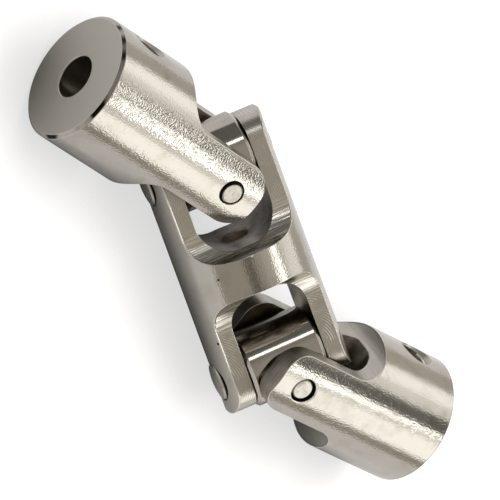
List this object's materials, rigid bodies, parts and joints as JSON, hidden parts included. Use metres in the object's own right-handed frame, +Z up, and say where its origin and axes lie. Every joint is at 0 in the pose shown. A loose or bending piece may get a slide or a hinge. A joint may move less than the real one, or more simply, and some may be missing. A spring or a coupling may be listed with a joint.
{
  "type": "double universal joint",
  "caption": "Nickel plated double universal joint with turned yokes, pin and block joints, and bored hubs with set screw holes, lying bent.",
  "frame": {"origin": "centre of the bounding box on the surface that the joint lies on", "axes": "+X along the centre yoke towards the driven yoke, +Z up from the surface, +Y to the side that the driven yoke bends to"},
  "size_m": [0.0774, 0.0458, 0.018],
  "materials": {
    "yokes": "satin nickel plate",
    "blocks": "polished nickel plate",
    "pins": "ground steel"
  },
  "bodies": {
    "centre_yoke": {"centre_yoke": "yokes"},
    "drive_cross": {"drive_block": "blocks", "drive_large_pin": "pins", "drive_small_pin": "pins"},
    "drive_yoke": {"drive_yoke": "yokes"},
    "driven_cross": {"driven_block": "blocks", "driven_large_pin": "pins", "driven_small_pin": "pins"},
    "driven_yoke": {"driven_yoke": "yokes"}
  },
  "joints": [
    {"name": "drive_swing", "type": "hinge", "parent": "centre_yoke", "child": "drive_cross", "pos_m": [-0.01381, -0.00061, 0.009], "axis": [0, 0.8988, 0.4384], "range_deg": [-47.16, 8.84]},
    {"name": "drive_fold", "type": "hinge", "parent": "drive_cross", "child": "drive_yoke", "pos_m": [-0.01381, -0.00061, 0.009], "axis": [-0.3282, 0.4141, -0.849], "range_deg": [-6.06, 73.94]},
    {"name": "driven_swing", "type": "hinge", "parent": "centre_yoke", "child": "driven_cross", "pos_m": [0.01479, -0.00061, 0.009], "axis": [0, 0.8988, 0.4384], "range_deg": [-50.94, 5.06]},
    {"name": "driven_fold", "type": "hinge", "parent": "driven_cross", "child": "driven_yoke", "pos_m": [0.01479, -0.00061, 0.009], "axis": [0.3898, -0.4037, 0.8277], "range_deg": [-78.63, 1.37]}
  ]
}
